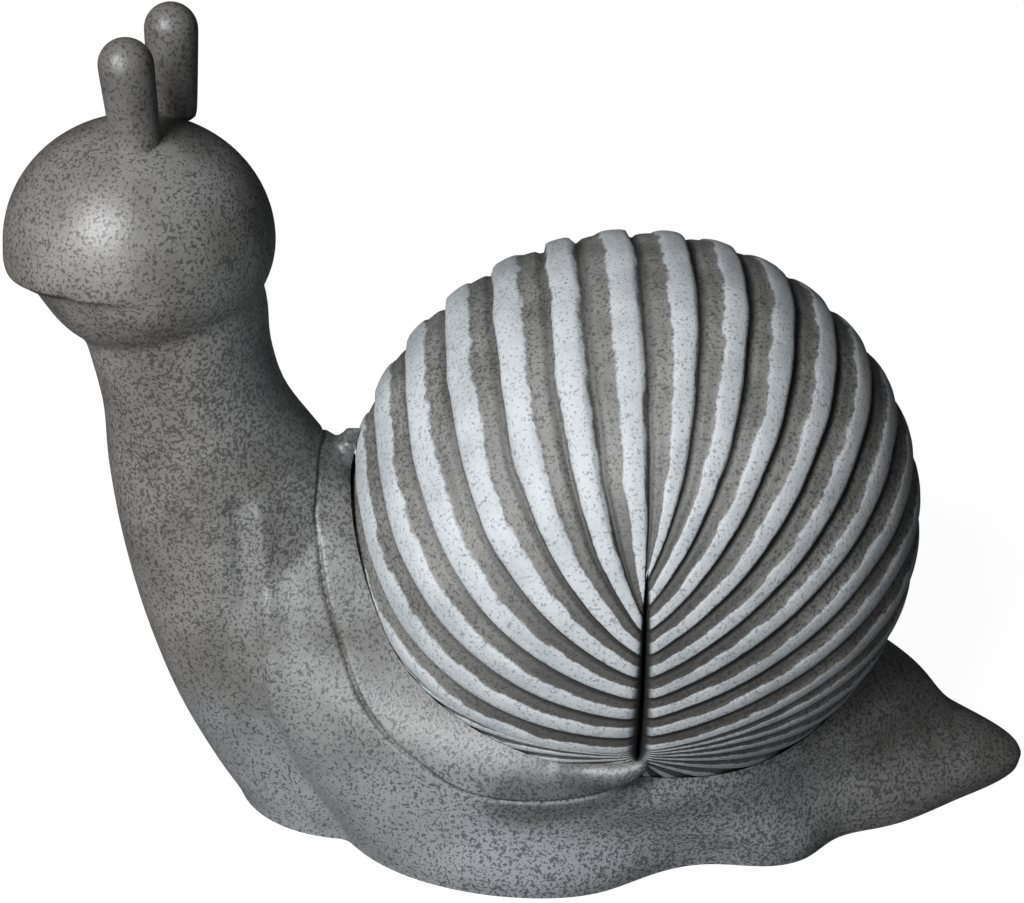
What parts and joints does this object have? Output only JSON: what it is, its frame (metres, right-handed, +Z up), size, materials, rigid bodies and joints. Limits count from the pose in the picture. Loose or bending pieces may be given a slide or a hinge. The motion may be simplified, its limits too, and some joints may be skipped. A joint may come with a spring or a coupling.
{
  "type": "garden snail figurine",
  "caption": "Cast stone garden snail with a round ribbed shell, raised neck and head, blunt eye stalks, skirted foot and a flat closed base.",
  "frame": {"origin": "on the flat resting face, under the middle of the shell", "axes": "-X is the way the head looks, +Z is up, -Y is the flank that the picture shows"},
  "size_m": [0.403, 0.2058, 0.3253],
  "materials": {
    "speckled_stone": "semi-gloss sealed cast stone with dark specks",
    "banded_stone": "pale painted bands over grey, dark in the grooves, sealed",
    "pin_steel": "plain round rod",
    "base_stone": "unsealed matt casting",
    "plug_rubber": "matt moulded rubber"
  },
  "bodies": {
    "root": {"body": "speckled_stone", "shell": "banded_stone", "eye_stalk_right": "speckled_stone", "eye_stalk_left": "speckled_stone", "stalk_pins": "pin_steel", "shell_dowels": "pin_steel", "base_plate": "base_stone", "base_plug": "plug_rubber"}
  },
  "joints": []
}
